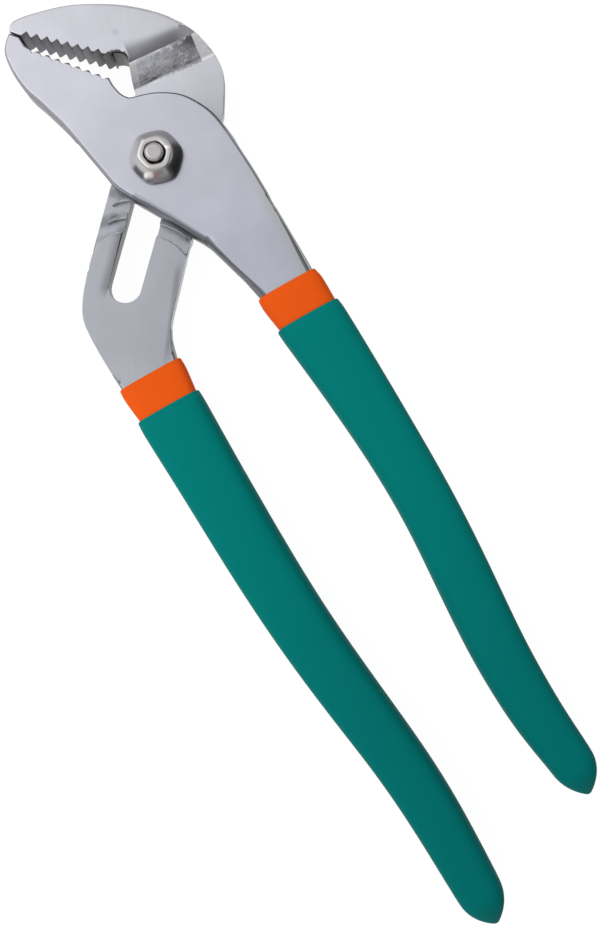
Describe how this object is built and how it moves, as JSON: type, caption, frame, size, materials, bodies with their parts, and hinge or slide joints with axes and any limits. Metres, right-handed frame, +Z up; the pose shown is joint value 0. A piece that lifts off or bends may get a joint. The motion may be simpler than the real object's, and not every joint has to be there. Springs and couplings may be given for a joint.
{
  "type": "water pump pliers",
  "caption": "Slip-joint water pump pliers with a slotted upper-jaw arm, a tongue-and-groove pivot, toothed jaws and two-layer dipped grips.",
  "frame": {"origin": "on the pivot axis, where the bolt head's flat underside rests on the bench", "axes": "+Z up along the pivot axis towards the nut, +Y from the pivot to the jaws along the tool's length, +X to the right seen from the nut side"},
  "size_m": [0.0625, 0.2536, 0.0214],
  "materials": {
    "satin_steel": "satin nickel plate",
    "bright_steel": "polished",
    "orange_vinyl": "satin dipped vinyl",
    "green_vinyl": "satin dipped vinyl"
  },
  "bodies": {
    "slotted_side": {"slotted_arm": "satin_steel", "slotted_arm_inner_grip": "orange_vinyl", "slotted_arm_outer_grip": "green_vinyl"},
    "pivot": {"pivot_bolt": "bright_steel", "pivot_nut": "bright_steel"},
    "tongue_side": {"tongue_arm": "satin_steel", "tongue_arm_inner_grip": "orange_vinyl", "tongue_arm_outer_grip": "green_vinyl"}
  },
  "joints": [
    {"name": "channel_slide", "type": "slide", "parent": "slotted_side", "child": "pivot", "axis": [-0.7071, -0.7071, 0], "range_m": [0, 0.0279]},
    {"name": "jaw_hinge", "type": "hinge", "parent": "pivot", "child": "tongue_side", "pos_m": [0, 0, 0.00905], "axis": [0, 0, 1], "range_deg": [0, 60]}
  ]
}
